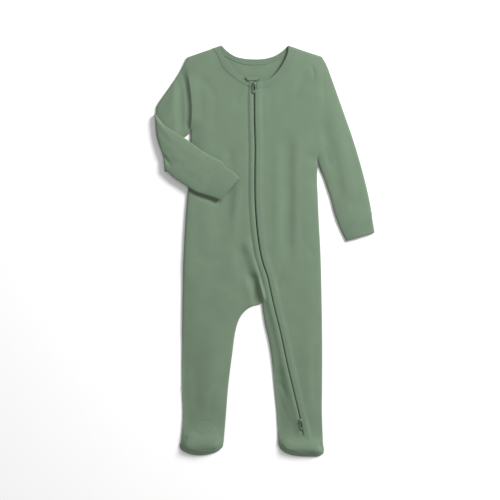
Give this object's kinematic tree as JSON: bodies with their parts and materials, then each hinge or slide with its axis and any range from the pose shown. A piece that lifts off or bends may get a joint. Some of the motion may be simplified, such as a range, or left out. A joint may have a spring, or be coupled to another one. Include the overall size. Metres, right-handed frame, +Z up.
{
  "type": "footed baby sleepsuit",
  "caption": "Footed long-sleeved baby sleepsuit in plain jersey, laid flat, with one sleeve folded over the chest and a zip that runs from the neck down one leg.",
  "frame": {"origin": "on the surface that the garment lies on, under the middle of its outline", "axes": "+Y from the feet towards the neck, +X towards the wearer's left arm, +Z up out of the front"},
  "size_m": [0.3972, 0.7396, 0.0154],
  "materials": {
    "jersey": "sage green cotton jersey, matt",
    "rib": "sage green cotton rib, matt",
    "zip_tape": "sage green woven tape",
    "zip_coil": "sage green nylon coil",
    "zip_metal": "sage green enamel"
  },
  "bodies": {
    "garment": {"back": "jersey", "front_right": "jersey", "front_left": "jersey", "sole_right": "jersey", "sole_left": "jersey", "foot_upper_right": "jersey", "foot_upper_left": "jersey", "sleeve_right": "jersey", "sleeve_left": "jersey", "cuff_right": "rib", "cuff_left": "rib", "neckband": "rib", "chin_tab": "jersey", "zip_tape_right": "zip_tape", "zip_tape_left": "zip_tape", "zip_chain": "zip_coil", "slider_top": "zip_metal", "slider_bottom": "zip_metal"},
    "upper_pull": {"pull_top": "zip_metal"},
    "lower_pull": {"pull_bottom": "zip_metal"}
  },
  "joints": [
    {"name": "upper_pull_swing", "type": "hinge", "parent": "garment", "child": "upper_pull", "pos_m": [-0.01774, 0.29966, 0.01065], "axis": [-0.9997, 0.0264, 0], "range_deg": [0, 165]},
    {"name": "lower_pull_swing", "type": "hinge", "parent": "garment", "child": "lower_pull", "pos_m": [0.06506, -0.30484, 0.01065], "axis": [-0.9792, -0.2029, 0], "range_deg": [0, 165]}
  ]
}
